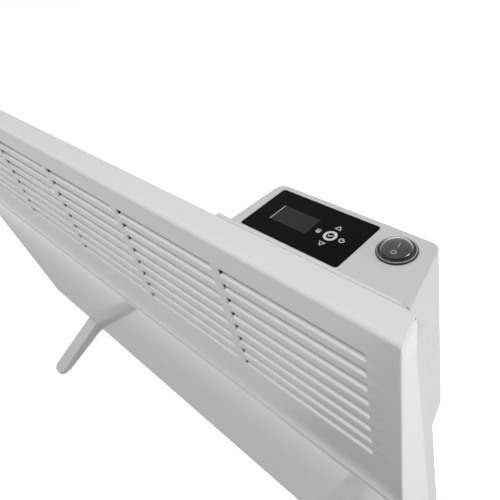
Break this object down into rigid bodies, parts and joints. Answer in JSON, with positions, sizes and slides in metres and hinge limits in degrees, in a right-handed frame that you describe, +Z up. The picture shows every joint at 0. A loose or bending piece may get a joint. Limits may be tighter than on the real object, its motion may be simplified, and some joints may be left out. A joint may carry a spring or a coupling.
{
  "type": "wall panel convector heater",
  "caption": "White panel convector heater on two arched feet, with a louvred front, a rear control box with a touch panel and a capped rocker switch.",
  "frame": {"origin": "on the floor under the middle of the heater's overall box", "axes": "+X to the right as seen from the front, +Y to the back, +Z up"},
  "size_m": [0.8, 0.244, 0.4959],
  "materials": {
    "white_paint": "semi-gloss powder coat",
    "white_plastic": "satin",
    "galvanised": "satin",
    "fin_aluminium": "satin",
    "ceramic": "matte",
    "black_glass": "gloss",
    "dark_plastic": "satin",
    "smoked_plastic": "gloss",
    "clear_plastic": "clear",
    "circuit_board": "satin",
    "rubber": "matte",
    "steel": "satin"
  },
  "bodies": {
    "heater": {"front_panel": "white_paint", "rear_casing": "white_paint", "box_bracket": "white_paint", "heat_shield": "galvanised", "element_bracket_left": "galvanised", "element_bracket_right": "galvanised", "heating_element": "fin_aluminium", "element_end_left": "ceramic", "element_end_right": "ceramic", "overheat_cutout": "dark_plastic", "tilt_switch": "dark_plastic", "relay": "dark_plastic", "transformer": "dark_plastic", "switch_body": "dark_plastic", "box_housing": "white_plastic", "terminal_block": "white_plastic", "cable_gland": "white_plastic", "room_probe": "white_plastic", "foot_left": "white_plastic", "foot_right": "white_plastic", "touch_panel": "black_glass", "lcd_module": "smoked_plastic", "control_board": "circuit_board", "power_board": "circuit_board", "switch_ring": "steel", "foot_screw_left_front": "steel", "foot_screw_left_rear": "steel", "foot_screw_right_front": "steel", "foot_screw_right_rear": "steel", "casing_screw_1": "steel", "casing_screw_2": "steel", "casing_screw_3": "steel", "casing_screw_4": "steel", "box_screw_1": "steel", "box_screw_2": "steel", "box_screw_3": "steel", "box_screw_4": "steel", "switch_cap": "clear_plastic", "foot_pad_left_front": "rubber", "foot_pad_left_rear": "rubber", "foot_pad_right_front": "rubber", "foot_pad_right_rear": "rubber"},
    "rocker": {"switch_rocker": "smoked_plastic"}
  },
  "joints": [
    {"name": "power_rocker", "type": "hinge", "parent": "heater", "child": "rocker", "pos_m": [0.3614, 0.05033, 0.48843], "axis": [-1, 0, 0], "range_deg": [0, 20]}
  ]
}
